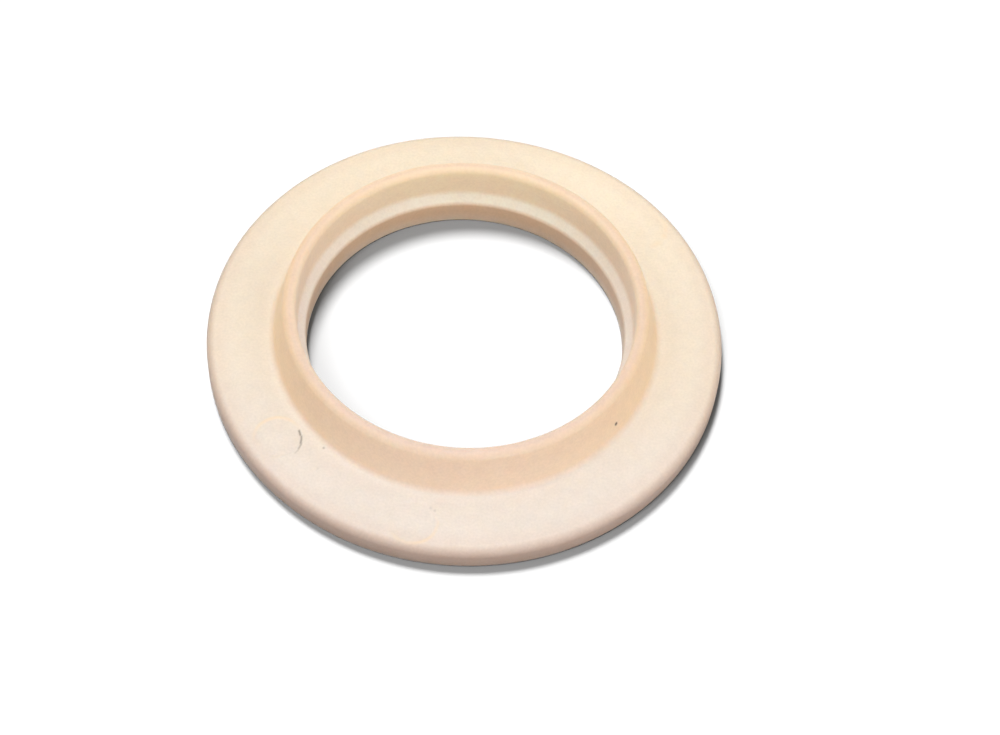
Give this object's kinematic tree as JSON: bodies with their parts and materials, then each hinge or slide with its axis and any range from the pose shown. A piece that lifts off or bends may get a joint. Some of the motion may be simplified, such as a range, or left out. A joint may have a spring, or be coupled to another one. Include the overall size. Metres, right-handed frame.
{
  "type": "conical rubber washer",
  "caption": "Conical rubber washer: a flat round flange with a short tapered collar round its bore, which seals the tail of a basin waste or cistern outlet.",
  "frame": {"origin": "centre of the bore, level with the flange's flat underside", "axes": "+Z along the bore axis, from the flange towards the collar's rim"},
  "size_m": [0.07, 0.07, 0.0098],
  "materials": {
    "cream_rubber": "satin"
  },
  "bodies": {
    "root": {"conical_washer": "cream_rubber"}
  },
  "joints": []
}
